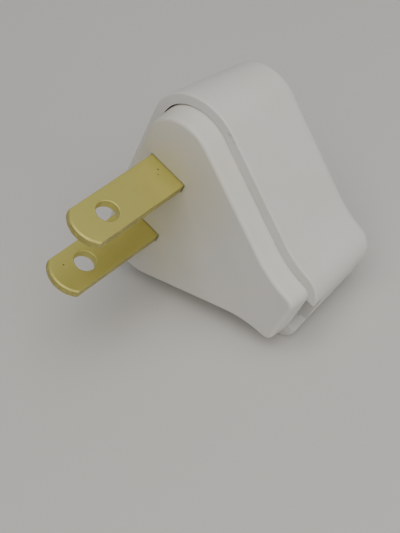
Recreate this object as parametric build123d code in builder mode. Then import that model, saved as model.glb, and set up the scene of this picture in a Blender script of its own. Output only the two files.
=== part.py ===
"""Flat two-blade plug for a flat cord, lying on one slanted side.

A drafted cover stands round a contact carrier. The carrier holds two brass blades with screw terminals,
a saddle and clamp for the cord, and the brass insert that takes the cover's one screw.
Outlines are drawn on the front face's plane: its x runs along the axis of symmetry towards the nose,
its y from the upper blade to the lower one, and its z into the body.
"""

from build123d import *

import os
from math import asin, atan2, cos, radians, sin, sqrt, tan

os.makedirs("parts", exist_ok=True)

# Front face outline
corner_across = 10.5
corner_along = 0.7
corner_radius = 6.05
side_angle = 31.3
flare_radius = 14.3
nose_half_width = 5.1
nose_reach = 25.45
nose_corner_radius = 1.3
least_corner_radius = 0.8

# Contact carrier
flange_height = 3.5
flange_draft = 4.4
flange_edge_radius = 0.55
skirt_height = 2.7
skirt_wall = 1.6
plate_thickness = 2.8
terminal_block_height = 5.2
block_margin = 1.2
block_corner_radius = 0.8
carrier_boss_radius = 3.4
carrier_boss_height = 9.0
barrier_thickness = 1.2
barrier_length = 6.5
barrier_height = 6.5

# Cover
rim_margin = 2.1
rim_nose_margin = 1.6
rim_edge_radius = 0.25
cover_depth = 15.9
cover_draft = 7.0
cover_nose_draft = 4.0
cover_nose_radius = 3.4
cover_wall = 2.2
back_wall = 2.0
back_edge_radius = 2.0
cover_boss_radius = 3.2
cord_notch_width = 7.2
cord_notch_depth = 2.8
cord_notch_radius = 0.6

# Blades
blade_width = 6.35
blade_thickness = 1.5
blade_spacing = 12.7
blade_reach = 17.7
blade_tip_rise = 1.35
blade_bevel = 0.45
blade_hole_radius = 1.6
blade_hole_reach = 12.0
bend_radius = 0.8
pad_length = 6.2
pad_corner_radius = 1.2

# Screws, washers and insert
terminal_screw_radius = 1.5
terminal_screw_length = 5.0
terminal_head_radius = 2.6
terminal_head_height = 1.8
washer_radius = 3.2
washer_thickness = 0.6
washer_lip_height = 0.4
washer_lip_width = 0.5
clamp_screw_radius = 1.25
clamp_screw_length = 4.6
clamp_head_radius = 2.1
clamp_head_height = 1.5
cover_screw_radius = 1.5
cover_screw_length = 9.5
cover_head_radius = 2.8
cover_head_height = 1.9
head_recess_depth = 2.4
slot_width = 0.8
slot_share = 0.5
insert_radius = 2.3
insert_length = 6.0
insert_groove_width = 1.2
insert_groove_depth = 0.3

# Cord clamp
clamp_along = 13.5
clamp_screw_across = 5.0
clamp_post_radius = 2.1
clamp_bar_width = 3.8
clamp_bar_thickness = 1.8
clamp_ridge_height = 0.6
clamp_ridge_width = 1.2
saddle_half_width = 3.4
saddle_height = 0.5
saddle_rib_height = 0.3
saddle_rib_width = 0.7
saddle_rib_pitch = 2.2
saddle_rib_count = 5

# Clearances
mouth_clearance = 0.12
blade_clearance = 0.05
screw_clearance = 0.05
screw_relief = 0.4
relief_depth = 0.6
boss_clearance = 0.2
head_clearance = 0.3
inner_clearance = 0.3

# Depths from the front face
seat_depth = flange_height + skirt_height
platform_depth = plate_thickness + terminal_block_height
pad_back = platform_depth + blade_thickness
boss_depth = plate_thickness + carrier_boss_height
cover_back = flange_height + cover_depth
cavity_back = cover_back - back_wall
cover_head_seat = cover_back - head_recess_depth
clamp_bar_back = seat_depth + clamp_bar_thickness

# Margins from the front face outline
flange_margin = flange_height * tan(radians(flange_draft))
mouth_margin = flange_margin + mouth_clearance
tray_margin = flange_margin - skirt_wall
inner_inset = cover_wall + inner_clearance
clamp_ridge_length = 2 * (clamp_screw_across - clamp_post_radius - inner_clearance)

# Places of the terminals
blade_outer_face = (blade_spacing + blade_thickness) / 2
terminal_across = blade_outer_face + pad_length / 2
block_width = blade_width + 2 * block_margin
block_length = pad_length + blade_thickness + 2 * block_margin
terminal_relief_depth = terminal_screw_length - blade_thickness - washer_thickness + relief_depth
clamp_hole_depth = clamp_screw_length - clamp_bar_thickness + relief_depth
side_signs = {"upper": -1, "lower": 1}

# Run of the cord's saddle, from the barrier to the nose
saddle_start = carrier_boss_radius + barrier_length
saddle_length = nose_reach - saddle_start

# Fixed points of the outline
side_normal = Vector(sin(radians(side_angle)), cos(radians(side_angle)))
corner_centre = Vector(corner_along, corner_across)
side_distance = corner_centre.dot(side_normal) + corner_radius
flare_across = nose_half_width + flare_radius
flare_along = (side_distance + flare_radius - side_normal.Y * flare_across) / side_normal.X
flare_centre = Vector(flare_along, flare_across)


def nose_centre(margin, nose_margin, nose_radius):
    """Centre of the nose's lower corner, which touches the flare and the nose's end."""
    along = nose_reach + nose_margin - nose_radius
    reach = flare_radius - margin + nose_radius
    return Vector(along, flare_across - sqrt(reach**2 - (flare_along - along) ** 2))


def body_outline(margin, nose_margin, nose_radius):
    """The body's outline, grown by a margin all round and by another at the nose's end."""
    radius = corner_radius + margin
    far_side = corner_along - radius
    nose = nose_centre(margin, nose_margin, nose_radius)
    flare_start = flare_centre - side_normal * (flare_radius - margin)
    flare_end = nose + (flare_centre - nose).normalized() * nose_radius
    nose_tip = nose_reach + nose_margin
    with BuildSketch() as outline:
        with BuildLine():
            far = Line((far_side, 0), (far_side, corner_across))
            corner = TangentArc(far @ 1, corner_centre + side_normal * radius, tangent=far % 1)
            side = Line(corner @ 1, flare_start)
            flare = TangentArc(side @ 1, flare_end, tangent=side % 1)
            nose_corner = TangentArc(flare @ 1, (nose_tip, nose.Y), tangent=flare % 1)
            Line(nose_corner @ 1, (nose_tip, 0))
            mirror(about=Plane.XZ)
        make_face()
    return outline.sketch


def face_outline(margin):
    """The front face's outline, grown or shrunk by an even margin."""
    return body_outline(margin, margin, max(nose_corner_radius + margin, least_corner_radius))


def cover_outline(depth, inset):
    """The cover's drafted outline at a depth, moved inwards from its wall by an inset."""
    rise = depth - flange_height
    margin = rim_margin - rise * tan(radians(cover_draft)) - inset
    nose_margin = rim_nose_margin - rise * tan(radians(cover_nose_draft)) - inset
    return body_outline(margin, nose_margin, max(cover_nose_radius - inset, least_corner_radius))


# The cover's big corner and nose corner share the plane that it lies on
rim_nose = nose_centre(rim_margin, rim_nose_margin, cover_nose_radius)
corner_step = rim_nose - corner_centre
radius_step = corner_radius + rim_margin - cover_nose_radius
lie_angle = atan2(-corner_step.Y, corner_step.X) + asin(radius_step / corner_step.length)
lean_angle = radians(cover_draft)
face = Plane(
    origin=(0, 0, 0),
    x_dir=(cos(lie_angle), -sin(lie_angle) * sin(lean_angle), -sin(lie_angle) * cos(lean_angle)),
    z_dir=(0, cos(lean_angle), -sin(lean_angle)),
)
depth_axis = Axis(face.origin, face.z_dir)
nose_end = Plane(
    face.from_local_coords((nose_reach, 0, flange_height)), x_dir=face.y_dir, z_dir=face.x_dir
)
blade_side = Plane(face.origin, x_dir=face.z_dir, z_dir=face.x_dir)


def plane_at(along, across, depth):
    """A plane parallel to the front face, through a point given on its axes."""
    return Plane(face.from_local_coords((along, across, depth)), x_dir=face.x_dir, z_dir=face.z_dir)


def make_screw(seat, radius, length, head_radius, head_height):
    """A slotted pan-head screw, with its head on the seat plane and its shank behind it."""
    crown = head_height * slot_share
    with BuildPart() as screw:
        with BuildSketch(Plane(seat.origin, x_dir=seat.x_dir, z_dir=-seat.y_dir)):
            with BuildLine():
                Polyline((0, head_height), (0, -length), (radius / 2, -length), (radius, -length + radius))
                Polyline((radius, -length + radius), (radius, 0), (head_radius, 0), (head_radius, crown))
                Spline((head_radius, crown), (0, head_height), tangents=[(0, 1), (-1, 0)])
            make_face()
        revolve(axis=Axis(seat.origin, seat.z_dir))
        with BuildSketch(seat.offset(head_height)):
            Rectangle(2 * head_radius, slot_width)
        extrude(amount=-crown, mode=Mode.SUBTRACT)
    return screw.part


# Cover, a shell lofted to its two drafts, with a boss and a mouth where the carrier sits against the nose
with BuildPart() as cover:
    for depth in (flange_height, cover_back):
        with BuildSketch(face.offset(depth)):
            add(cover_outline(depth, 0))
    loft()
    fillet(cover.edges().group_by(depth_axis)[-1], back_edge_radius)
    fillet(cover.edges().group_by(depth_axis)[0], rim_edge_radius)
    for depth in (seat_depth, cavity_back):
        with BuildSketch(face.offset(depth)):
            add(cover_outline(depth, cover_wall))
    loft(mode=Mode.SUBTRACT)
    with BuildSketch(face.offset(flange_height)):
        with Locations((-mouth_clearance, 0)):
            add(face_outline(mouth_margin))
    extrude(amount=skirt_height, mode=Mode.SUBTRACT)
    with BuildSketch(face.offset(boss_depth + boss_clearance)):
        Circle(cover_boss_radius)
    extrude(amount=cavity_back - boss_depth)
    with BuildSketch(face.offset(boss_depth)):
        Circle(cover_screw_radius + screw_clearance)
    extrude(amount=cover_depth, mode=Mode.SUBTRACT)
    with BuildSketch(face.offset(cover_head_seat)):
        Circle(cover_head_radius + head_clearance)
    extrude(amount=cover_depth, mode=Mode.SUBTRACT)
    with BuildSketch(nose_end):
        RectangleRounded(cord_notch_width, 2 * cord_notch_depth, cord_notch_radius)
    extrude(amount=nose_half_width, both=True, mode=Mode.SUBTRACT)
cover.part.label = "cover"
export_step(cover.part, "parts/cover.step")


# Contact carrier, a drafted flange and a skirt round a tray with two terminal blocks and a screw boss
with BuildPart() as contact_carrier:
    with BuildSketch(face):
        add(face_outline(0))
    extrude(amount=flange_height, taper=-flange_draft)
    fillet(contact_carrier.edges().group_by(depth_axis)[0], flange_edge_radius)
    with BuildSketch(face.offset(flange_height)):
        add(face_outline(flange_margin))
    extrude(amount=skirt_height)
    with BuildSketch(face.offset(plate_thickness)):
        add(face_outline(tray_margin))
    extrude(amount=seat_depth, mode=Mode.SUBTRACT)
    # Terminal blocks, kept inside the cover's wall
    with BuildSketch(face.offset(plate_thickness)):
        with Locations((0, terminal_across), (0, -terminal_across)):
            RectangleRounded(block_width, block_length, block_corner_radius)
        add(cover_outline(platform_depth, inner_inset), mode=Mode.INTERSECT)
    extrude(amount=terminal_block_height)
    # Boss for the cover's insert, with the barrier between the two cores
    with BuildSketch(face.offset(plate_thickness)):
        Circle(carrier_boss_radius)
    extrude(amount=carrier_boss_height)
    with BuildSketch(face.offset(plate_thickness)):
        with Locations((carrier_boss_radius, 0)):
            Rectangle(2 * barrier_length, barrier_thickness)
        add(cover_outline(platform_depth, inner_inset), mode=Mode.INTERSECT)
    extrude(amount=barrier_height)
    # Saddle and clamp posts for the cord
    with BuildSketch(face.offset(plate_thickness)):
        with Locations((saddle_start, 0)):
            Rectangle(saddle_length, 2 * saddle_half_width, align=(Align.MIN, Align.CENTER))
    extrude(amount=saddle_height)
    with BuildSketch(face.offset(plate_thickness + saddle_height)):
        with Locations((saddle_start + saddle_length / 2, 0)):
            with GridLocations(saddle_rib_pitch, 0, saddle_rib_count, 1):
                Rectangle(saddle_rib_width, 2 * saddle_half_width)
    extrude(amount=saddle_rib_height)
    with BuildSketch(face.offset(plate_thickness)):
        with Locations((clamp_along, clamp_screw_across), (clamp_along, -clamp_screw_across)):
            Circle(clamp_post_radius)
        add(face_outline(tray_margin + skirt_wall / 2), mode=Mode.INTERSECT)
    extrude(amount=seat_depth - plate_thickness)
    # Way for the cord through the skirt
    with BuildSketch(face.offset(flange_height)):
        with Locations((nose_reach, 0)):
            Rectangle(nose_half_width, cord_notch_width)
    extrude(amount=skirt_height, mode=Mode.SUBTRACT)
    # Blade slots, stepped where the blades turn out onto their blocks
    with BuildSketch(face):
        with Locations((0, blade_spacing / 2), (0, -blade_spacing / 2)):
            Rectangle(blade_width + 2 * blade_clearance, blade_thickness + 2 * blade_clearance)
    extrude(amount=platform_depth, mode=Mode.SUBTRACT)
    with BuildSketch(face.offset(platform_depth)):
        with Locations((0, blade_outer_face), (0, -blade_outer_face)):
            Rectangle(blade_width + 2 * blade_clearance, 2 * (bend_radius + blade_clearance))
    extrude(amount=-(bend_radius + blade_clearance), mode=Mode.SUBTRACT)
    # Screw holes
    with BuildSketch(face.offset(platform_depth)):
        with Locations((0, terminal_across), (0, -terminal_across)):
            Circle(terminal_screw_radius + screw_relief)
    extrude(amount=-terminal_relief_depth, mode=Mode.SUBTRACT)
    with BuildSketch(face.offset(seat_depth)):
        with Locations((clamp_along, clamp_screw_across), (clamp_along, -clamp_screw_across)):
            Circle(clamp_screw_radius + screw_clearance)
    extrude(amount=-clamp_hole_depth, mode=Mode.SUBTRACT)
    with BuildSketch(face.offset(boss_depth)):
        Circle(insert_radius)
    extrude(amount=-insert_length, mode=Mode.SUBTRACT)
contact_carrier.part.label = "contact_carrier"
export_step(contact_carrier.part, "parts/contact_carrier.step")

for name, sign in side_signs.items():
    blade_flat = Plane(
        face.from_local_coords((0, sign * blade_spacing / 2, 0)), x_dir=face.z_dir, z_dir=face.y_dir
    )
    outward_axis = Axis(face.origin, face.y_dir * sign)
    terminal_seat = plane_at(0, sign * terminal_across, pad_back)

    # Blade, with an arc-shaped tip, bent outwards behind the face to a tapped pad
    with BuildPart() as blade:
        with BuildSketch(blade_side):
            with BuildLine():
                FilletPolyline(
                    (-blade_reach, -sign * blade_spacing / 2),
                    (platform_depth + blade_thickness / 2, -sign * blade_spacing / 2),
                    (platform_depth + blade_thickness / 2, -sign * (blade_outer_face + pad_length)),
                    radius=bend_radius + blade_thickness / 2,
                )
            trace(line_width=blade_thickness)
        extrude(amount=blade_width / 2, both=True)
        with BuildSketch(blade_flat):
            with BuildLine():
                tip = ThreePointArc(
                    (blade_tip_rise - blade_reach, -blade_width / 2),
                    (-blade_reach, 0),
                    (blade_tip_rise - blade_reach, blade_width / 2),
                )
                Polyline(tip @ 1, (pad_back, blade_width / 2), (pad_back, -blade_width / 2), tip @ 0)
            make_face()
        extrude(amount=blade_thickness + pad_length, both=True, mode=Mode.INTERSECT)
        with BuildSketch(blade_flat):
            with Locations((-blade_hole_reach, 0)):
                Circle(blade_hole_radius)
        extrude(amount=blade_thickness, both=True, mode=Mode.SUBTRACT)
        with BuildSketch(terminal_seat):
            Circle(terminal_screw_radius + screw_clearance)
        extrude(amount=-blade_thickness, mode=Mode.SUBTRACT)
        tip_edges = blade.edges().filter_by(GeomType.CIRCLE).sort_by(depth_axis)[:2]
        chamfer(tip_edges, blade_bevel)
        fillet(blade.edges().filter_by(depth_axis).sort_by(outward_axis)[-2:], pad_corner_radius)
    blade.part.label = f"blade_{name}"
    export_step(blade.part, f"parts/blade_{name}.step")

    # Cupped washer between the pad and its screw
    with BuildPart() as terminal_washer:
        with BuildSketch(terminal_seat):
            Circle(washer_radius)
            Circle(terminal_screw_radius + screw_clearance, mode=Mode.SUBTRACT)
        extrude(amount=washer_thickness)
        with BuildSketch(terminal_seat.offset(washer_thickness)):
            Circle(washer_radius)
            Circle(washer_radius - washer_lip_width, mode=Mode.SUBTRACT)
        extrude(amount=washer_lip_height)
    terminal_washer.part.label = f"terminal_washer_{name}"
    export_step(terminal_washer.part, f"parts/terminal_washer_{name}.step")

    # Terminal screw
    with BuildPart() as terminal_screw:
        add(
            make_screw(
                terminal_seat.offset(washer_thickness),
                terminal_screw_radius,
                terminal_screw_length,
                terminal_head_radius,
                terminal_head_height,
            )
        )
    terminal_screw.part.label = f"terminal_screw_{name}"
    export_step(terminal_screw.part, f"parts/terminal_screw_{name}.step")

    # Clamp screw
    with BuildPart() as clamp_screw:
        add(
            make_screw(
                plane_at(clamp_along, sign * clamp_screw_across, clamp_bar_back),
                clamp_screw_radius,
                clamp_screw_length,
                clamp_head_radius,
                clamp_head_height,
            )
        )
    clamp_screw.part.label = f"clamp_screw_{name}"
    export_step(clamp_screw.part, f"parts/clamp_screw_{name}.step")

# Clamp bar, with a ridge that bites the cord and ends that follow the cover's wall
with BuildPart() as clamp_bar:
    with BuildSketch(face.offset(seat_depth)):
        with Locations((clamp_along, 0)):
            Rectangle(clamp_bar_width, 2 * corner_across)
        add(cover_outline(clamp_bar_back, inner_inset), mode=Mode.INTERSECT)
        with Locations((clamp_along, clamp_screw_across), (clamp_along, -clamp_screw_across)):
            Circle(clamp_screw_radius + screw_clearance, mode=Mode.SUBTRACT)
    extrude(amount=clamp_bar_thickness)
    with BuildSketch(face.offset(seat_depth)):
        with Locations((clamp_along, 0)):
            Rectangle(clamp_ridge_width, clamp_ridge_length)
    extrude(amount=-clamp_ridge_height)
clamp_bar.part.label = "clamp_bar"
export_step(clamp_bar.part, "parts/clamp_bar.step")

# Brass insert, grooved so that it holds in the carrier's boss
with BuildPart() as cover_insert:
    with BuildSketch(face.offset(boss_depth)):
        Circle(insert_radius)
        Circle(cover_screw_radius + screw_clearance, mode=Mode.SUBTRACT)
    extrude(amount=-insert_length)
    with BuildSketch(face.offset(boss_depth - (insert_length - insert_groove_width) / 2)):
        Circle(insert_radius)
        Circle(insert_radius - insert_groove_depth, mode=Mode.SUBTRACT)
    extrude(amount=-insert_groove_width, mode=Mode.SUBTRACT)
cover_insert.part.label = "cover_insert"
export_step(cover_insert.part, "parts/cover_insert.step")

# Cover screw, sunk in the cover's back
with BuildPart() as cover_screw:
    add(
        make_screw(
            face.offset(cover_head_seat),
            cover_screw_radius,
            cover_screw_length,
            cover_head_radius,
            cover_head_height,
        )
    )
cover_screw.part.label = "cover_screw"
export_step(cover_screw.part, "parts/cover_screw.step")
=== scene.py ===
"""Finishes, fine detail, floor, light and camera of the flat two-blade plug.

Pieces are modelled in plug millimetres: x runs along the plug to its nose, y across it from the
upper blade to the lower one, and z into the body from the front face. PlugAxes places them in the
frame.
"""

import logging
import math
from collections.abc import Callable, Iterator, Sequence
from contextlib import contextmanager
from dataclasses import dataclass, replace
from enum import Enum
from typing import Any

import bpy
from mathutils import Matrix, Quaternion, Vector


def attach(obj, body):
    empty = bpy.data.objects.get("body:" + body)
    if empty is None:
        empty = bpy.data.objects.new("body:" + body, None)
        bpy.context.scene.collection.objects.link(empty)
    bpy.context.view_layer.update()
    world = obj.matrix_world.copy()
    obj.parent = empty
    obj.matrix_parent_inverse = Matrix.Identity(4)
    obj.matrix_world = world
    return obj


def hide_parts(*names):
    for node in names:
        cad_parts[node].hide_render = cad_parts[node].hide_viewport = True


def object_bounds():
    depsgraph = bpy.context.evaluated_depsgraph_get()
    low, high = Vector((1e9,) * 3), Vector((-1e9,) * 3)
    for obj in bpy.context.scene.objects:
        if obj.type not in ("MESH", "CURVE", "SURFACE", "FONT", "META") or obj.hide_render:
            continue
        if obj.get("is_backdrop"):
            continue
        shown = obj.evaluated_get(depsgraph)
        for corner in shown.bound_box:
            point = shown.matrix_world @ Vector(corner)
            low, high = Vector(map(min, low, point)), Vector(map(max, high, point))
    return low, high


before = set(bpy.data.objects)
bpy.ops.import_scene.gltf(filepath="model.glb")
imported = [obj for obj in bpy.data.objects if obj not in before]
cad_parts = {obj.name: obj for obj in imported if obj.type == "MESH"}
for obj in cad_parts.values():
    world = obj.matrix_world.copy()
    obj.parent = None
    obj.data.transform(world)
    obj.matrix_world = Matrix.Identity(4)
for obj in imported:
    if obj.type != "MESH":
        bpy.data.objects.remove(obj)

log = logging.getLogger("plug")

METRES_PER_MM = 0.001
BODY = "root"

# Mean strength of a noise, and the share of a speck's radius that has its whole colour.
NOISE_MEAN = 0.5
SPECK_CORE = 0.4

# Slack in millimetres for edges picked by their place, for a hole's rim, and for merged doubles.
PICK_SLACK = 1e-3
RIM_SLACK = 1e-2
MERGE_SLACK = 1e-4

# How much of a face's normal points along an axis when the face counts as facing that way.
FACING = 0.9

# Number of faces round a rod, round the blade's hole and round the arc of its tip.
ROD_SIDES = 64
HOLE_SIDES = 96
TIP_SIDES = 256

# Number of steps in a bend, in the rounding of a hole's edge and in that of any other edge.
BEND_STEPS = 8
RIM_STEPS = 4
EDGE_STEPS = 3

# Edges that turn by more than this, in degrees, are rounded and shaded as edges.
SHARP_ANGLE = 30.0

# How much large faces outweigh small ones in the shading, from 1 to 100.
FACE_WEIGHT = 100

# How far a cutting tool stands over what it cuts, in millimetres.
TOOL_MARGIN = 1.0


class Side(Enum):
    """The two sides of the plug, by the names that its nodes have."""

    UPPER = "upper"
    LOWER = "lower"


class Grain(Enum):
    """How a metal was worked, by the stretch of its marks along, across and into the plug."""

    ROLLED = (4.0, 4.0, 0.16)
    TURNED = (5.0, 5.0, 5.0)


@dataclass(frozen=True)
class PlugAxes:
    """How the plug lies in the frame.

    Attributes:
        lie: Turn of the plug's axis of symmetry below the level, in radians.
        lean: Tilt of its depth below the level, in radians.
    """

    lie: float = 0.481009
    lean: float = math.radians(7.0)

    def turn(self) -> Matrix:
        """Work out the rotation from plug axes to frame axes.

        Returns:
            The rotation.
        """
        along = Vector((
            math.cos(self.lie),
            -math.sin(self.lie) * math.sin(self.lean),
            -math.sin(self.lie) * math.cos(self.lean),
        ))
        depth = Vector((0.0, math.cos(self.lean), -math.sin(self.lean)))
        return Matrix((along, depth.cross(along), depth)).transposed()

    def placing(self) -> Matrix:
        """Return the matrix from plug millimetres to the frame's metres."""
        return self.turn().to_4x4() @ Matrix.Scale(METRES_PER_MM, 4)


AXES = PlugAxes()


@dataclass(frozen=True)
class Dent:
    """A small mark knocked or pitted into a surface.

    Attributes:
        centre: Its centre in plug millimetres.
        radius: Its radius in millimetres.
        depth: Its depth in millimetres.
    """

    centre: tuple[float, float, float]
    radius: float
    depth: float


@dataclass(frozen=True)
class Arc:
    """An arc round a line that runs across the plug's middle.

    Attributes:
        depth: Depth of the line in plug millimetres.
        radius: The arc's radius.
    """

    depth: float
    radius: float


@dataclass(frozen=True)
class Block:
    """A block in plug millimetres.

    Attributes:
        low: Its lowest corner.
        high: Its highest corner.
    """

    low: tuple[float, float, float]
    high: tuple[float, float, float]


@dataclass(frozen=True)
class Mottle:
    """A layer of soft noise in a finish.

    Attributes:
        pitch: Size of its largest spots, in millimetres.
        detail: Number of its finer layers.
        crumble: Share of the finer layers.
        onset: Strength where it starts to colour the surface, and where it does so fully.
        share: How far it then colours the surface.
        relief: Its height over the surface, in millimetres.
        gloss: How far it moves the roughness.
    """

    pitch: float
    detail: float = 2.0
    crumble: float = 0.5
    onset: tuple[float, float] = (0.0, 1.0)
    share: float = 1.0
    relief: float = 0.0
    gloss: float = 0.0


@dataclass(frozen=True)
class Specks:
    """Small round specks scattered over a finish.

    Attributes:
        pitch: Mean distance between them, in millimetres.
        size: Their radius as a share of the pitch.
        share: How far they colour the surface.
        depth: Their depth in millimetres.
    """

    pitch: float
    size: float
    share: float = 0.5
    depth: float = 0.0


class Field:
    """One socket of a material, so that shader maths reads as plain arithmetic."""

    def __init__(self, graph: "FinishGraph", socket: bpy.types.NodeSocket) -> None:
        """Wrap an output socket of a graph."""
        self.graph = graph
        self.socket = socket

    def __add__(self, other: "Field | float") -> "Field":
        """Return the sum."""
        return self.graph.maths("ADD", self, other)

    def __sub__(self, other: "Field | float") -> "Field":
        """Return the difference."""
        return self.graph.maths("SUBTRACT", self, other)

    def __rsub__(self, other: float) -> "Field":
        """Return a number less this value."""
        return self.graph.maths("SUBTRACT", other, self)

    def __mul__(self, other: "Field | float") -> "Field":
        """Return the product."""
        return self.graph.maths("MULTIPLY", self, other)

    __radd__ = __add__
    __rmul__ = __mul__

    def step(self, low: float, high: float) -> "Field":
        """Return a smooth step.

        Args:
            low: Where the step is 0.
            high: Where it is 1. It may be under low, and then the step falls.

        Returns:
            The step, from 0 to 1.
        """
        settings = {"interpolation_type": "SMOOTHSTEP"}
        sockets = {"Value": self, "From Min": low, "From Max": high, "To Min": 0.0, "To Max": 1.0}
        return self.graph.node("ShaderNodeMapRange", settings, sockets)

    def tint(self, layer: Mottle) -> "Field":
        """Return how far this noise colours the surface, as its layer says."""
        return self.step(*layer.onset) * layer.share

    def shine(self, layer: Mottle) -> "Field":
        """Return what this noise adds to the roughness, as its layer says."""
        return layer.gloss * (self - NOISE_MEAN)


class FinishGraph:
    """The node tree of one material."""

    def __init__(self, name: str) -> None:
        """Start an empty material.

        Args:
            name: The material's name.
        """
        self.material = bpy.data.materials.new(name)
        self.material.use_nodes = True
        self.tree = self.material.node_tree
        self.tree.nodes.clear()

    def node(
        self,
        kind: str,
        settings: dict[str, Any] | None = None,
        sockets: dict[str | int, Any] | None = None,
        output: str | int = 0,
    ) -> Field:
        """Add a node, set it up, and fill or link its sockets.

        Args:
            kind: The node's type, such as ShaderNodeTexNoise.
            settings: The node's own settings by name.
            sockets: Values or fields by the name or number of the input socket.
            output: Name or number of the output socket to return.

        Returns:
            The chosen output.
        """
        made = self.tree.nodes.new(kind)
        for name, value in (settings or {}).items():
            setattr(made, name, value)
        for name, value in (sockets or {}).items():
            if isinstance(value, Field):
                self.tree.links.new(value.socket, made.inputs[name])
            else:
                made.inputs[name].default_value = value
        return Field(self, made.outputs[output])

    def maths(self, operation: str, *values: Field | float) -> Field:
        """Return the result of a Math node on these values."""
        return self.node("ShaderNodeMath", {"operation": operation}, dict(enumerate(values)))

    def vector(self, operation: str, *values: Any, output: str = "Vector") -> Field:
        """Return the Vector of a Vector Math node, or its Value for a distance or a length."""
        settings = {"operation": operation}
        return self.node("ShaderNodeVectorMath", settings, dict(enumerate(values)), output)

    def place(self) -> Field:
        """Turn the piece's own coordinates into plug millimetres.

        Returns:
            The point's place.
        """
        point = self.node("ShaderNodeTexCoord", output="Object")
        turn = AXES.turn().inverted().to_euler()
        scale = (1 / METRES_PER_MM,) * 3
        sockets = {"Vector": point, "Rotation": turn, "Scale": scale}
        return self.node("ShaderNodeMapping", None, sockets)

    def stretched(self, place: Field, stretch: Sequence[float]) -> Field:
        """Return a place scaled by a factor on each axis."""
        return self.vector("MULTIPLY", place, tuple(stretch))

    def noise(self, place: Field, layer: Mottle) -> Field:
        """Add soft noise.

        Args:
            place: Where the noise is read.
            layer: Its size and fineness.

        Returns:
            The noise, which is NOISE_MEAN on the mean.
        """
        sockets = {
            "Vector": place,
            "Scale": 1 / layer.pitch,
            "Detail": layer.detail,
            "Roughness": layer.crumble,
        }
        return self.node("ShaderNodeTexNoise", None, sockets)

    def specks(self, place: Field, specks: Specks) -> Field:
        """Scatter small round specks, one in each cell of a loose grid.

        Args:
            place: Where the specks are read.
            specks: Their size and spacing.

        Returns:
            1 inside a speck and 0 outside.
        """
        sockets = {"Vector": place, "Scale": 1 / specks.pitch}
        near = self.node("ShaderNodeTexVoronoi", None, sockets, "Distance")
        return near.step(specks.size, specks.size * SPECK_CORE)

    def spot(self, place: Field, dent: Dent) -> Field:
        """Return 1 at a dent's centre, falling to 0 at its radius."""
        return self.vector("DISTANCE", place, dent.centre, output="Value").step(dent.radius, 0.0)

    def beyond(self, place: Field, limit: float, fade: float) -> Field:
        """Return 1 past a distance along the plug from its middle, falling to 0 over the fade."""
        along = self.node("ShaderNodeSeparateXYZ", None, {0: place})
        return self.maths("ABSOLUTE", along).step(limit - fade, limit)

    def past_arc(self, place: Field, arc: Arc, fade: float) -> Field:
        """Mark what lies on or past an arc, on the side of its line that the blades point to.

        Args:
            place: The place in plug millimetres.
            arc: The arc.
            fade: Width over which the mark grows, in millimetres.

        Returns:
            1 at the arc, falling to 0 over the fade inside it.
        """
        flat = self.stretched(place, (1.0, 0.0, 1.0))
        ahead = self.vector("MINIMUM", flat, (arc.radius, arc.radius, arc.depth))
        away = self.vector("DISTANCE", ahead, (0.0, 0.0, arc.depth), output="Value")
        return away.step(arc.radius - 2 * fade, arc.radius - fade)

    def near_block(self, place: Field, block: Block, reach: float) -> Field:
        """Mark what lies close round a block.

        Args:
            place: The place in plug millimetres.
            block: The block.
            reach: How far from it the mark ends, in millimetres.

        Returns:
            1 at the block, falling to 0 at the reach.
        """
        centre = tuple((low + high) / 2 for low, high in zip(block.low, block.high))
        half = tuple((high - low) / 2 for low, high in zip(block.low, block.high))
        away = self.vector("ABSOLUTE", self.vector("SUBTRACT", place, centre))
        outside = self.vector("MAXIMUM", self.vector("SUBTRACT", away, half), (0.0, 0.0, 0.0))
        return self.vector("LENGTH", outside, output="Value").step(reach, 0.0)

    def blend(self, share: Field | float, first: Any, second: Any) -> Field:
        """Mix two colours.

        Args:
            share: 0 for the first, 1 for the second.
            first: A field or a colour of three numbers.
            second: A field or a colour of three numbers.

        Returns:
            The mixed colour.
        """
        colours = [c if isinstance(c, Field) else (*c, 1.0) for c in (first, second)]
        sockets = {0: share, 6: colours[0], 7: colours[1]}
        return self.node("ShaderNodeMix", {"data_type": "RGBA"}, sockets, 2)

    def relief(self, height: Field) -> Field:
        """Return the bumped normal of a height in millimetres."""
        return self.node("ShaderNodeBump", None, {"Height": height, "Distance": METRES_PER_MM})

    def surface(self, **sockets: Any) -> bpy.types.Material:
        """Add the surface shader and the output.

        Args:
            sockets: Values or fields of the shader, with underscores for spaces.

        Returns:
            The finished material.
        """
        named = {name.replace("_", " "): value for name, value in sockets.items()}
        shader = self.node("ShaderNodeBsdfPrincipled", None, named)
        made = self.tree.nodes.new("ShaderNodeOutputMaterial")
        self.tree.links.new(shader.socket, made.inputs["Surface"])
        return self.material


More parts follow.
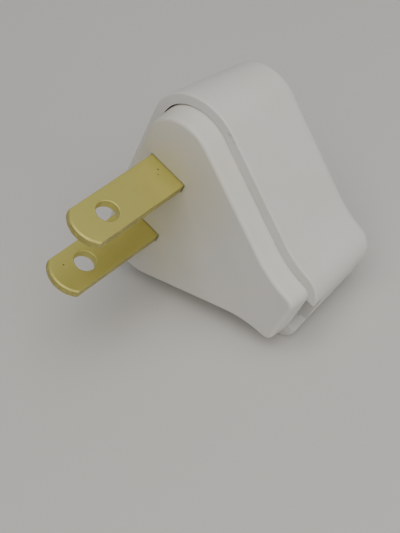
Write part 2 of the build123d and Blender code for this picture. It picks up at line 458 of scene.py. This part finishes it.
@dataclass(frozen=True)
class MouldedPlastic:
    """White moulded plastic with a soft sheen, faint flow marks and small knocks.

    Attributes:
        name: The material's name.
        shade: The plain colour.
        aged: The colour of its slightly yellowed clouds.
        grime_and_dent_shade: The colour of handling dirt in specks, also painted as shade in dents.
        seam_colour: The near-black colour of a thin band round a slot.
        blade_shade: The colour of painted shade round a slot, where the blades shade the face,
            tinted warm as a painted reflection of the brass.
        roughness: The mean roughness.
        clouds: Its clouds.
        flow: The marks that the flow left in the mould.
        flow_stretch: How those marks are squeezed along, across and into the plug.
        peel: The fine texture of its skin.
        specks: Its specks of dirt.
        dents: Marks at known places.
        dent_shade_share: How far a dent takes on that colour as painted shade.
        slots: What passes through the surface.
        seam: Width of the seam round it, in millimetres.
        seam_share: How far the seam band takes on that colour.
        blade_shade_reach: How far the painted shade spreads, in millimetres.
        blade_shade_share: How far the painted shade takes hold beside the slot.
        ior: How strongly it bends light.
        milk: Share of the light that spreads inside it.
        milk_reach: How far that light spreads, in metres.
        milk_tint: Its spread in red, green and blue.
    """

    name: str
    shade: tuple[float, float, float] = (0.705, 0.70, 0.67)
    aged: tuple[float, float, float] = (0.69, 0.68, 0.635)
    grime_and_dent_shade: tuple[float, float, float] = (0.55, 0.53, 0.48)
    seam_colour: tuple[float, float, float] = (0.10, 0.09, 0.06)
    blade_shade: tuple[float, float, float] = (0.58, 0.53, 0.33)
    roughness: float = 0.42
    clouds: Mottle = Mottle(pitch=9.0, detail=3.0, onset=(0.42, 0.72), relief=0.03, gloss=0.12)
    flow: Mottle = Mottle(pitch=2.6, relief=0.010)
    flow_stretch: tuple[float, float, float] = (0.35, 1.0, 1.0)
    peel: Mottle = Mottle(pitch=0.42, crumble=0.6, relief=0.0025, gloss=0.10)
    specks: Specks = Specks(pitch=3.4, size=0.035)
    dents: tuple[Dent, ...] = ()
    dent_shade_share: float = 0.35
    slots: tuple[Block, ...] = ()
    seam: float = 0.3
    seam_share: float = 0.8
    blade_shade_reach: float = 12.0
    blade_shade_share: float = 0.5
    ior: float = 1.5
    milk: float = 0.12
    milk_reach: float = 0.0012
    milk_tint: tuple[float, float, float] = (1.0, 0.9, 0.8)

    def build(self) -> bpy.types.Material:
        """Make the material.

        Returns:
            The material.
        """
        graph = FinishGraph(self.name)
        place = graph.place()
        clouds = graph.noise(place, self.clouds)
        flow = graph.noise(graph.stretched(place, self.flow_stretch), self.flow)
        peel = graph.noise(place, self.peel)
        specks = graph.specks(place, self.specks)
        colour = graph.blend(clouds.tint(self.clouds), self.shade, self.aged)
        colour = graph.blend(specks * self.specks.share, colour, self.grime_and_dent_shade)
        height = peel * self.peel.relief + flow * self.flow.relief + clouds * self.clouds.relief
        for dent in self.dents:
            mark = graph.spot(place, dent)
            # Painted shade in the hollow of each dent.
            colour = graph.blend(mark * self.dent_shade_share, colour, self.grime_and_dent_shade)
            height = height - mark * dent.depth
        for slot in self.slots:
            # Painted shade of the blades on the face round each slot, tinted warm as a painted
            # reflection of the brass.
            blade_shaded = graph.near_block(place, slot, self.blade_shade_reach)
            colour = graph.blend(blade_shaded * self.blade_shade_share, colour, self.blade_shade)
            # A near-black band in the seam round each slot.
            seam_mark = graph.near_block(place, slot, self.seam)
            colour = graph.blend(seam_mark * self.seam_share, colour, self.seam_colour)
        return graph.surface(
            Base_Color=colour,
            Roughness=self.roughness + clouds.shine(self.clouds) + peel.shine(self.peel),
            Normal=graph.relief(height),
            IOR=self.ior,
            Subsurface_Weight=self.milk,
            Subsurface_Radius=self.milk_tint,
            Subsurface_Scale=self.milk_reach,
        )


@dataclass(frozen=True)
class WorkedMetal:
    """A bare metal with the marks of how it was worked, a little tarnish and pits.

    Attributes:
        name: The material's name.
        shade: The clean colour.
        tarnish: The colour of its dull patches.
        torn: The colour of a sheared edge.
        pit_shade: The near-black colour painted inside a pit as shade.
        roughness: The mean roughness.
        bare: Share of the surface that is free of dull film.
        grain: How it was worked.
        lines: The marks of the working.
        fine: The finer marks between them.
        fine_stretch: How the finer marks are squeezed along, across and into the plug.
        patches: The dull patches.
        specks: The small pits scattered over the patches.
        specks_onset: Strength of a patch where its pits start, and where they are whole.
        dents: Pits at known places.
        pit_shade_onset: Share of a pit's fall where its painted shade starts, and where it is
            whole.
        dent_shade_share: How far a pit takes on its painted shade.
        sheared: Distance along the plug from its middle to the sheared edges on both sides.
        end: Arc of the sheared end.
        side_fade: Width over which the torn band of a side grows, in millimetres.
        end_fade: Width over which that of the end grows.
        tears: The tears in the sheared edges.
    """

    name: str
    shade: tuple[float, float, float]
    tarnish: tuple[float, float, float]
    torn: tuple[float, float, float] = (0.34, 0.29, 0.10)
    pit_shade: tuple[float, float, float] = (0.12, 0.10, 0.04)
    roughness: float = 0.36
    bare: float = 1.0
    grain: Grain = Grain.TURNED
    lines: Mottle = Mottle(
        pitch=0.55, detail=4.0, crumble=0.65, onset=(0.5, 0.75), share=0.3, relief=0.004, gloss=0.14
    )
    fine: Mottle = Mottle(pitch=0.3, relief=0.0015)
    fine_stretch: tuple[float, float, float] = (3.0, 3.0, 1.0)
    patches: Mottle = Mottle(
        pitch=3.2, detail=4.0, crumble=0.6, onset=(0.45, 0.72), share=0.5, gloss=0.14
    )
    specks: Specks = Specks(pitch=1.1, size=0.06, depth=0.01)
    specks_onset: tuple[float, float] = (0.5, 0.62)
    dents: tuple[Dent, ...] = ()
    pit_shade_onset: tuple[float, float] = (0.1, 0.6)
    dent_shade_share: float = 0.9
    sheared: float | None = None
    end: Arc | None = None
    side_fade: float = 0.06
    end_fade: float = 0.03
    tears: Mottle = Mottle(pitch=0.5, detail=3.0, onset=(0.3, 0.6), share=0.6, relief=0.02)

    def build(self) -> bpy.types.Material:
        """Make the material.

        Returns:
            The material.
        """
        graph = FinishGraph(self.name)
        place = graph.place()
        marked = graph.stretched(place, self.grain.value)
        lines = graph.noise(marked, self.lines)
        fine = graph.noise(graph.stretched(marked, self.fine_stretch), self.fine)
        patches = graph.noise(place, self.patches)
        specks = graph.specks(place, self.specks) * patches.step(*self.specks_onset)
        colour = graph.blend(patches.tint(self.patches), self.shade, self.tarnish)
        colour = graph.blend(lines.tint(self.lines), colour, self.tarnish)
        colour = graph.blend(specks * self.specks.share, colour, self.tarnish)
        height = lines * self.lines.relief + fine * self.fine.relief - specks * self.specks.depth
        for dent in self.dents:
            mark = graph.spot(place, dent)
            # Painted shade inside each pit.
            inside = mark.step(*self.pit_shade_onset)
            colour = graph.blend(inside * self.dent_shade_share, colour, self.pit_shade)
            height = height - mark * dent.depth
        if self.sheared and self.end:
            sides = graph.beyond(place, self.sheared, self.side_fade)
            end = graph.past_arc(place, self.end, self.end_fade)
            tears = graph.noise(place, self.tears).step(*self.tears.onset)
            torn = graph.maths("MAXIMUM", sides, end) * tears
            colour = graph.blend(torn * self.tears.share, colour, self.torn)
            height = height - torn * self.tears.relief
        return graph.surface(
            Base_Color=colour,
            Metallic=self.bare,
            Roughness=self.roughness + patches.shine(self.patches) + lines.shine(self.lines),
            Normal=graph.relief(height),
        )


@dataclass(frozen=True)
class FloorFinish:
    """A matt pale sheet.

    Attributes:
        name: The material's name.
        shade: Its colour.
        other: The colour of its faint clouds.
        roughness: The mean roughness.
        clouds: The clouds.
        tooth: The fine texture of its surface.
    """

    name: str = "floor_sheet"
    shade: tuple[float, float, float] = (0.62, 0.605, 0.58)
    other: tuple[float, float, float] = (0.60, 0.59, 0.57)
    roughness: float = 0.62
    clouds: Mottle = Mottle(pitch=60.0, detail=3.0)
    tooth: Mottle = Mottle(pitch=0.5, relief=0.006, gloss=0.1)

    def build(self) -> bpy.types.Material:
        """Make the material.

        Returns:
            The material.
        """
        graph = FinishGraph(self.name)
        place = graph.place()
        clouds = graph.noise(place, self.clouds)
        tooth = graph.noise(place, self.tooth)
        return graph.surface(
            Base_Color=graph.blend(clouds, self.shade, self.other),
            Roughness=self.roughness + tooth.shine(self.tooth),
            Normal=graph.relief(tooth * self.tooth.relief),
        )


WHITE_COVER = MouldedPlastic("cover_white")
WHITE_CARRIER = MouldedPlastic("carrier_white", shade=(0.725, 0.705, 0.66))
WHITE_CLAMP = MouldedPlastic("clamp_white", roughness=0.5)
BLADE_BRASS = WorkedMetal(
    "blade_brass",
    shade=(0.58, 0.525, 0.150),
    tarnish=(0.52, 0.465, 0.125),
    roughness=0.42,
    bare=0.75,
    grain=Grain.ROLLED,
)
WASHER_BRASS = WorkedMetal(
    "washer_brass", shade=(0.66, 0.56, 0.28), tarnish=(0.48, 0.38, 0.18), roughness=0.34
)
INSERT_BRASS = WorkedMetal(
    "insert_brass", shade=(0.68, 0.58, 0.30), tarnish=(0.50, 0.40, 0.20), roughness=0.30
)
SCREW_STEEL = WorkedMetal(
    "screw_steel", shade=(0.63, 0.63, 0.61), tarnish=(0.45, 0.44, 0.40), roughness=0.30
)


class Bench:
    """Adds primitives, picks their faces and edges, and runs the modelling operators on them."""

    @staticmethod
    def clear() -> None:
        """Leave nothing selected."""
        bpy.ops.object.select_all(action="DESELECT")

    @staticmethod
    def hold(piece: bpy.types.Object) -> None:
        """Select one piece alone and make it the active one.

        Args:
            piece: The piece.
        """
        Bench.clear()
        piece.select_set(True)
        bpy.context.view_layer.objects.active = piece

    @staticmethod
    def named(name: str) -> bpy.types.Object:
        """Name the primitive that was just added and put its place in its mesh.

        Args:
            name: The piece's name.

        Returns:
            The piece.
        """
        piece = bpy.context.active_object
        piece.name = piece.data.name = name
        bpy.ops.object.transform_apply(location=True, rotation=True, scale=True)
        return piece

    @staticmethod
    def block(name: str, low: Sequence[float], high: Sequence[float]) -> bpy.types.Object:
        """Add a block between two corners.

        Args:
            name: The piece's name.
            low: The lowest corner in plug millimetres.
            high: The highest corner.

        Returns:
            The block.
        """
        Bench.clear()
        low, high = Vector(low), Vector(high)
        bpy.ops.mesh.primitive_cube_add(size=1.0, location=(low + high) / 2, scale=high - low)
        return Bench.named(name)

    @staticmethod
    def rod(
        name: str,
        centre: Sequence[float],
        axis: Sequence[float],
        radius: float,
        length: float,
        sides: int = ROD_SIDES,
    ) -> bpy.types.Object:
        """Add a round rod.

        Args:
            name: The piece's name.
            centre: Its middle in plug millimetres.
            axis: Its direction.
            radius: Its radius.
            length: Its length.
            sides: Number of its faces round.

        Returns:
            The rod.
        """
        Bench.clear()
        turn = Vector(axis).to_track_quat("Z", "Y").to_euler()
        bpy.ops.mesh.primitive_cylinder_add(
            vertices=sides, radius=radius, depth=length, location=centre, rotation=turn
        )
        return Bench.named(name)

    @staticmethod
    @contextmanager
    def editing(piece: bpy.types.Object, element: str = "FACE") -> Iterator[None]:
        """Hold a piece in edit mode.

        Args:
            piece: The piece.
            element: EDGE or FACE, which the selection is read as.
        """
        Bench.hold(piece)
        bpy.ops.object.mode_set(mode="EDIT")
        bpy.ops.mesh.select_mode(type=element)
        yield
        bpy.ops.object.mode_set(mode="OBJECT")

    @staticmethod
    def drop_picks(piece: bpy.types.Object) -> None:
        """Deselect everything in a piece's mesh."""
        for items in (piece.data.vertices, piece.data.edges, piece.data.polygons):
            items.foreach_set("select", [False] * len(items))

    @staticmethod
    def pick_faces(piece: bpy.types.Object, test: Callable[[Vector, Vector], bool]) -> None:
        """Select the faces that pass a test.

        Args:
            piece: The piece.
            test: Takes a face's centre and normal.
        """
        Bench.drop_picks(piece)
        for polygon in piece.data.polygons:
            if test(polygon.center, polygon.normal):
                polygon.select = True

    @staticmethod
    def pick_edges(piece: bpy.types.Object, test: Callable[[Vector, Vector], bool]) -> None:
        """Select the edges that pass a test.

        Args:
            piece: The piece.
            test: Takes the places of an edge's two ends.
        """
        Bench.drop_picks(piece)
        for edge in piece.data.edges:
            ends = [piece.data.vertices[index] for index in edge.vertices]
            if test(ends[0].co, ends[1].co):
                for item in (edge, *ends):
                    item.select = True

    @staticmethod
    def apply(piece: bpy.types.Object, kind: str, **settings: Any) -> None:
        """Add a modifier to a piece and apply it.

        Args:
            piece: The piece.
            kind: The modifier's type.
            settings: Its settings by name.
        """
        Bench.hold(piece)
        added = piece.modifiers.new(kind.lower(), kind)
        for name, value in settings.items():
            setattr(added, name, value)
        bpy.ops.object.modifier_apply(modifier=added.name)

    @staticmethod
    def carve(piece: bpy.types.Object, tool: bpy.types.Object) -> None:
        """Cut a piece with another, the tool, and take the tool away."""
        Bench.apply(piece, "BOOLEAN", operation="DIFFERENCE", object=tool, solver="EXACT")
        bpy.data.objects.remove(tool, do_unlink=True)

    @staticmethod
    def soften(piece: bpy.types.Object, width: float) -> None:
        """Round a piece's sharp edges a little and shade it smooth.

        Args:
            piece: The piece.
            width: Width of the rounding in millimetres.
        """
        sharp = math.radians(SHARP_ANGLE)
        Bench.apply(
            piece,
            "BEVEL",
            width=width,
            segments=EDGE_STEPS,
            limit_method="ANGLE",
            angle_limit=sharp,
        )
        Bench.hold(piece)
        bpy.ops.object.shade_smooth_by_angle(angle=sharp)

    @staticmethod
    def flatten(piece: bpy.types.Object) -> None:
        """Let a piece's large faces set the normals, so that they look flat beside roundings."""
        Bench.apply(piece, "WEIGHTED_NORMAL", keep_sharp=True, weight=FACE_WEIGHT)

    @staticmethod
    def mirrored(piece: bpy.types.Object, name: str) -> bpy.types.Object:
        """Copy a piece to the other side of the plug, with its faces turned outwards again.

        Args:
            piece: The piece to copy.
            name: The copy's name.

        Returns:
            The copy.
        """
        copy = piece.copy()
        copy.data = piece.data.copy()
        copy.name = copy.data.name = name
        bpy.context.collection.objects.link(copy)
        Bench.hold(copy)
        across = (False, True, False)
        bpy.ops.transform.mirror(constraint_axis=across, center_override=(0.0, 0.0, 0.0))
        bpy.ops.object.transform_apply(location=True, rotation=True, scale=True)
        with Bench.editing(copy):
            bpy.ops.mesh.select_all(action="SELECT")
            bpy.ops.mesh.remove_doubles(threshold=MERGE_SLACK)
            bpy.ops.mesh.normals_make_consistent(inside=False)
        return copy

    @staticmethod
    def seat(
        piece: bpy.types.Object, finish: bpy.types.Material, slot: str, *nodes: str
    ) -> None:
        """Place a finished piece in the frame, dress it, and let it stand for its nodes.

        Args:
            piece: The piece, modelled in plug millimetres.
            finish: Its material.
            slot: Not used.
            nodes: The nodes that it replaces.
        """
        Bench.hold(piece)
        piece.matrix_world = AXES.placing()
        bpy.ops.object.transform_apply(location=True, rotation=True, scale=True)
        piece.data.materials.clear()
        piece.data.materials.append(finish)
        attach(piece, BODY)
        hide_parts(*nodes)
        faces = len(piece.data.polygons)
        log.info("%s: %d faces, stands for %s", piece.name, faces, ", ".join(nodes))


def dress(node: str, finish: bpy.types.Material) -> None:
    """Give a node of the frame its material.

    Args:
        node: The node's name.
        finish: The material.
    """
    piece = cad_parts[node]
    for slot in piece.material_slots:
        slot.material = finish
    log.info("%s: dressed in %s", node, finish.name)


@dataclass
class Housing:
    """The moulded shells: the cover and the contact carrier.

    Attributes:
        slots: Where the blades pass through the carrier's front.
        rim_nicks: Small knocks on the edge of the cover's rim.
    """

    slots: tuple[Block, ...]
    rim_nicks: tuple[Dent, ...] = (
        Dent((4.20, -17.06, 3.5), radius=0.55, depth=0.16),
        Dent((5.28, -16.68, 3.5), radius=0.4, depth=0.06),
        Dent((6.36, -16.80, 3.5), radius=0.5, depth=0.10),
    )

    def build(self) -> None:
        """Dress both shells."""
        dress("cover", replace(WHITE_COVER, dents=self.rim_nicks).build())
        dress("contact_carrier", replace(WHITE_CARRIER, slots=self.slots).build())


@dataclass
class Blades:
    """The two stamped blades, each bent out behind the face to a pad for its terminal screw.

    Attributes:
        width: Width of a blade, along the plug.
        thickness: Thickness of the strip.
        spacing: Distance between the blades' middles.
        reach: How far they stand out of the face.
        tip_rise: Height of the tip's arc.
        coin: Length of the coined taper on the tip's two faces.
        coin_depth: How deep the taper goes into each face at the tip.
        hole_radius: Radius of the hole near the tip.
        hole_reach: Distance of the hole from the face.
        platform: Depth of the block that the pad lies on.
        bend: Inner radius of the bend.
        pad_length: Length of the pad.
        pad_corner: Radius of the pad's corners.
        screw_radius: Radius of the pad's hole.
        hole_edge: Rounding of the edges of the hole near the tip.
        edge: Rounding of the sheared edges.
        seam_depth: How far in front of and behind the face the block round a slot reaches, for the
            painted blade shade and the dark seam.
        pits: Small pits in the faces.
    """

    width: float = 6.35
    thickness: float = 1.5
    spacing: float = 12.7
    reach: float = 17.7
    tip_rise: float = 1.35
    coin: float = 0.26
    coin_depth: float = 0.21
    hole_radius: float = 1.6
    hole_reach: float = 12.0
    platform: float = 8.0
    bend: float = 0.8
    pad_length: float = 6.2
    pad_corner: float = 1.2
    screw_radius: float = 1.55
    hole_edge: float = 0.17
    edge: float = 0.1
    seam_depth: float = 0.5
    pits: tuple[Dent, ...] = (
        Dent((-0.85, -7.1, -1.17), radius=0.22, depth=0.05),
        Dent((-0.25, -7.1, -1.80), radius=0.16, depth=0.04),
        Dent((-1.36, 5.6, -14.98), radius=0.20, depth=0.05),
    )

    def passages(self) -> tuple[Block, ...]:
        """Return where the two blades pass through the front face.

        Returns:
            One block for each blade, the upper one first.
        """
        half, deep = self.width / 2, self.seam_depth
        inner, outer = (self.spacing - self.thickness) / 2, (self.spacing + self.thickness) / 2
        spans = ((-outer, -inner), (inner, outer))
        return tuple(Block((-half, low, -deep), (half, high, deep)) for low, high in spans)

    def strip(self) -> bpy.types.Object:
        """Model the lower blade's strip with its bend and its pad.

        Returns:
            The strip, square at its tip.
        """
        half, inner = self.width / 2, (self.spacing - self.thickness) / 2
        outer, back = inner + self.thickness, self.platform + self.thickness
        strip = Bench.block("blade_strip_lower", (-half, inner, -self.reach), (half, outer, back))
        with Bench.editing(strip):
            bpy.ops.mesh.select_all(action="SELECT")
            bpy.ops.mesh.bisect(plane_co=(0.0, 0.0, self.platform), plane_no=(0.0, 0.0, 1.0))

        def on_outer_face(centre: Vector, normal: Vector) -> bool:
            """Return whether a face looks outwards and is as deep as the pad."""
            return normal.y > FACING and centre.z > self.platform

        Bench.pick_faces(strip, on_outer_face)
        with Bench.editing(strip):
            bpy.ops.mesh.extrude_region_move(
                TRANSFORM_OT_translate={"value": (0.0, self.pad_length, 0.0)}
            )
        for across, depth, radius in (
            (outer, self.platform, self.bend),
            (inner, back, self.bend + self.thickness),
        ):
            self.round_bend(strip, across, depth, radius)
        self.round_pad(strip, outer + self.pad_length)
        return strip

    def round_bend(
        self, strip: bpy.types.Object, across: float, depth: float, radius: float
    ) -> None:
        """Round one edge of the bend, which runs along the plug.

        Args:
            strip: The blade's strip.
            across: The edge's place across the plug.
            depth: The edge's depth.
            radius: The radius to give it.
        """
        spot = Vector((0.0, across, depth))

        def on_line(first: Vector, second: Vector) -> bool:
            """Return whether an edge lies on the line along the plug at that place."""
            ends = (Vector((0.0, point.y, point.z)) for point in (first, second))
            return all((end - spot).length < PICK_SLACK for end in ends)

        Bench.pick_edges(strip, on_line)
        with Bench.editing(strip, "EDGE"):
            bpy.ops.mesh.bevel(offset=radius, segments=BEND_STEPS, affect="EDGES")

    def round_pad(self, strip: bpy.types.Object, end: float) -> None:
        """Round the two corners at the pad's end.

        Args:
            strip: The blade's strip.
            end: The pad end's place across the plug.
        """
        def at_corner(first: Vector, second: Vector) -> bool:
            """Return whether an edge stands at a corner of the pad's end."""
            upright = abs(first.x - second.x) < PICK_SLACK
            return upright and all(point.y > end - PICK_SLACK for point in (first, second))

        Bench.pick_edges(strip, at_corner)
        with Bench.editing(strip, "EDGE"):
            bpy.ops.mesh.bevel(offset=self.pad_corner, segments=BEND_STEPS, affect="EDGES")

    def tip(self) -> Arc:
        """Return the arc of a blade's tip."""
        radius = ((self.width / 2) ** 2 + self.tip_rise**2) / (2 * self.tip_rise)
        return Arc(radius - self.reach, radius)

    def shape_tip(self, strip: bpy.types.Object) -> None:
        """Cut the tip to its arc, with a coined taper on both faces.

        Args:
            strip: The blade's strip.
        """
        middle, tip = self.spacing / 2, self.tip()
        centre = Vector((0.0, middle, tip.depth))
        waste = Bench.block(
            "tip_waste",
            (-self.width, middle - self.thickness, -self.reach - TOOL_MARGIN),
            (self.width, middle + self.thickness, tip.depth - self.coin),
        )
        land = self.thickness - 2 * self.coin_depth
        round_tip = Bench.rod("tip_round", centre, (0.0, 1.0, 0.0), tip.radius, land, TIP_SIDES)
        # The taper is drawn out to twice its size, so that it ends outside the strip.
        narrow = 1 - 2 * self.coin / tip.radius
        for sign in (-1, 1):
            Bench.pick_faces(round_tip, lambda _, normal, sign=sign: sign * normal.y > FACING)
            with Bench.editing(round_tip):
                bpy.ops.mesh.extrude_region_move(
                    TRANSFORM_OT_translate={"value": (0.0, 2 * sign * self.coin_depth, 0.0)}
                )
                bpy.ops.transform.resize(value=(narrow, 1.0, narrow), center_override=centre)
        Bench.carve(waste, round_tip)
        Bench.carve(strip, waste)

    def punch(self, strip: bpy.types.Object) -> None:
        """Punch the round hole near the tip and round its edges.

        Args:
            strip: The blade's strip.
        """
        centre, length = Vector((0.0, self.spacing / 2, -self.hole_reach)), 2 * self.thickness
        axis = (0.0, 1.0, 0.0)
        hole = Bench.rod("blade_hole", centre, axis, self.hole_radius, length, HOLE_SIDES)
        Bench.carve(strip, hole)

        def on_rim(first: Vector, second: Vector) -> bool:
            """Find the edges of the hole's rim on either face.

            Args:
                first: The place of an edge's one end.
                second: The place of its other end.

            Returns:
                Whether the edge is part of the rim.
            """
            spans = [Vector((point.x, centre.y, point.z)) - centre for point in (first, second)]
            flat = abs(first.y - second.y) < PICK_SLACK
            return flat and all(abs(span.length - self.hole_radius) < RIM_SLACK for span in spans)

        Bench.pick_edges(strip, on_rim)
        with Bench.editing(strip, "EDGE"):
            bpy.ops.mesh.bevel(offset=self.hole_edge, segments=RIM_STEPS, affect="EDGES")

    def tap(self, strip: bpy.types.Object) -> None:
        """Bore the pad's hole for its terminal screw.

        Args:
            strip: The blade's strip.
        """
        across = (self.spacing + self.thickness + self.pad_length) / 2
        centre, axis = (0.0, across, self.platform), (0.0, 0.0, 1.0)
        hole = Bench.rod("pad_hole", centre, axis, self.screw_radius, 4 * self.thickness)
        Bench.carve(strip, hole)

    def build(self) -> None:
        """Model the lower blade, mirror it to the upper one, and seat both."""
        lower = self.strip()
        self.shape_tip(lower)
        self.punch(lower)
        self.tap(lower)
        Bench.soften(lower, self.edge)
        upper = Bench.mirrored(lower, "blade_strip_upper")
        brass = replace(BLADE_BRASS, dents=self.pits, sheared=self.width / 2, end=self.tip())
        finish = brass.build()
        for side, piece in ((Side.LOWER, lower), (Side.UPPER, upper)):
            Bench.flatten(piece)
            Bench.seat(piece, finish, "blade_brass", f"blade_{side.value}")


@dataclass
class Terminals:
    """The fastenings: terminals, cord clamp, and the cover's screw with its insert."""

    def build(self) -> None:
        """Dress the fastenings of both sides and those in the middle."""
        steel, brass = SCREW_STEEL.build(), WASHER_BRASS.build()
        for side in Side:
            dress(f"terminal_screw_{side.value}", steel)
            dress(f"clamp_screw_{side.value}", steel)
            dress(f"terminal_washer_{side.value}", brass)
        dress("cover_screw", steel)
        dress("cover_insert", INSERT_BRASS.build())
        dress("clamp_bar", WHITE_CLAMP.build())


@dataclass(frozen=True)
class SoftLight:
    """A large square light that faces the plug.

    Attributes:
        name: Its name.
        azimuth: Its direction round the plug in degrees, 0 before the blades, 90 at the nose.
        elevation: Its height above the floor in degrees.
        distance: Its distance in metres.
        size: Its side in metres.
        power: Its power in watts.
        tint: Its colour.
    """

    name: str
    azimuth: float
    elevation: float
    distance: float
    size: float
    power: float
    tint: tuple[float, float, float]


def direction(azimuth: float, elevation: float) -> Vector:
    """Return the unit vector from the plug at an azimuth and an elevation.

    Args:
        azimuth: Degrees round from the front, towards +X.
        elevation: Degrees above the floor.

    Returns:
        The direction in the frame.
    """
    turn, rise = math.radians(azimuth), math.radians(elevation)
    level = math.cos(rise)
    return Vector((math.sin(turn) * level, -math.cos(turn) * level, math.sin(rise)))


@dataclass
class Studio:
    """The floor, the light and the camera.

    Attributes:
        floor_size: Side of the floor in metres.
        sky: Colour of the even light from all round.
        sky_strength: Its strength.
        lights: The lamps.
        aim: The point that the camera looks at, in metres.
        camera_azimuth: The camera's direction in degrees.
        camera_elevation: Its height in degrees.
        camera_roll: Its roll in degrees.
        camera_distance: Its distance from the aim in metres.
        lens: Its focal length in millimetres.
        clip: The nearest and the farthest distance that it sees, in metres.
    """

    floor_size: float = 3.0
    sky: tuple[float, float, float] = (0.97, 0.98, 1.0)
    sky_strength: float = 0.27
    lights: tuple[SoftLight, ...] = (
        SoftLight(
            "key",
            azimuth=60.0,
            elevation=66.0,
            distance=0.55,
            size=0.65,
            power=2.7,
            tint=(1.0, 0.98, 0.94),
        ),
        SoftLight(
            "back",
            azimuth=163.0,
            elevation=46.0,
            distance=0.9,
            size=1.0,
            power=0.3,
            tint=(1.0, 0.99, 0.97),
        ),
        SoftLight(
            "side",
            azimuth=86.0,
            elevation=12.0,
            distance=0.8,
            size=0.5,
            power=1.15,
            tint=(1.0, 1.0, 0.97),
        ),
    )
    aim: tuple[float, float, float] = (0.00863, -0.00150, -0.00775)
    camera_azimuth: float = 47.33
    camera_elevation: float = 43.6
    camera_roll: float = -10.2
    camera_distance: float = 0.1774
    lens: float = 84.24
    clip: tuple[float, float] = (0.01, 10.0)

    def lay_floor(self) -> None:
        """Lay the floor under the plug."""
        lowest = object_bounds()[0].z
        Bench.clear()
        bpy.ops.mesh.primitive_plane_add(size=self.floor_size, location=(0.0, 0.0, lowest))
        floor = Bench.named("floor")
        floor.data.materials.append(FloorFinish().build())
        floor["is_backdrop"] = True
        log.info("floor at %.4f m", lowest)

    def light(self) -> None:
        """Set the even light from all round and the lamps."""
        world = bpy.data.worlds.new("studio")
        bpy.context.scene.world = world
        world.use_nodes = True
        around = world.node_tree.nodes["Background"]
        around.inputs["Color"].default_value = (*self.sky, 1.0)
        around.inputs["Strength"].default_value = self.sky_strength
        for lamp in self.lights:
            data = bpy.data.lights.new(lamp.name, "AREA")
            data.size, data.energy, data.color = lamp.size, lamp.power, lamp.tint
            placed = bpy.data.objects.new(lamp.name, data)
            away = direction(lamp.azimuth, lamp.elevation)
            placed.location = away * lamp.distance
            placed.rotation_euler = away.to_track_quat("Z", "Y").to_euler()
            bpy.context.collection.objects.link(placed)
            log.info("light %s", lamp.name)

    def set_camera(self) -> None:
        """Put the camera at the photograph's place."""
        data = bpy.data.cameras.new("camera")
        data.lens = self.lens
        data.clip_start, data.clip_end = self.clip
        camera = bpy.data.objects.new("camera", data)
        away = direction(self.camera_azimuth, self.camera_elevation)
        camera.location = Vector(self.aim) + away * self.camera_distance
        roll = Quaternion((0.0, 0.0, 1.0), math.radians(self.camera_roll))
        camera.rotation_euler = (away.to_track_quat("Z", "Y") @ roll).to_euler()
        bpy.context.collection.objects.link(camera)
        bpy.context.scene.camera = camera
        log.info("camera at %s", tuple(round(c, 4) for c in camera.location))

    def build(self) -> None:
        """Set up the whole studio."""
        self.lay_floor()
        self.light()
        self.set_camera()


def main() -> None:
    """Build the plug's looks and the studio round it."""
    logging.basicConfig(level=logging.INFO, format="%(name)s %(message)s")
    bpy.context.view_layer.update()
    blades = Blades()
    for assembly in (Housing(blades.passages()), blades, Terminals(), Studio()):
        assembly.build()
        log.info("%s done", type(assembly).__name__)


if __name__ == "__main__":
    main()
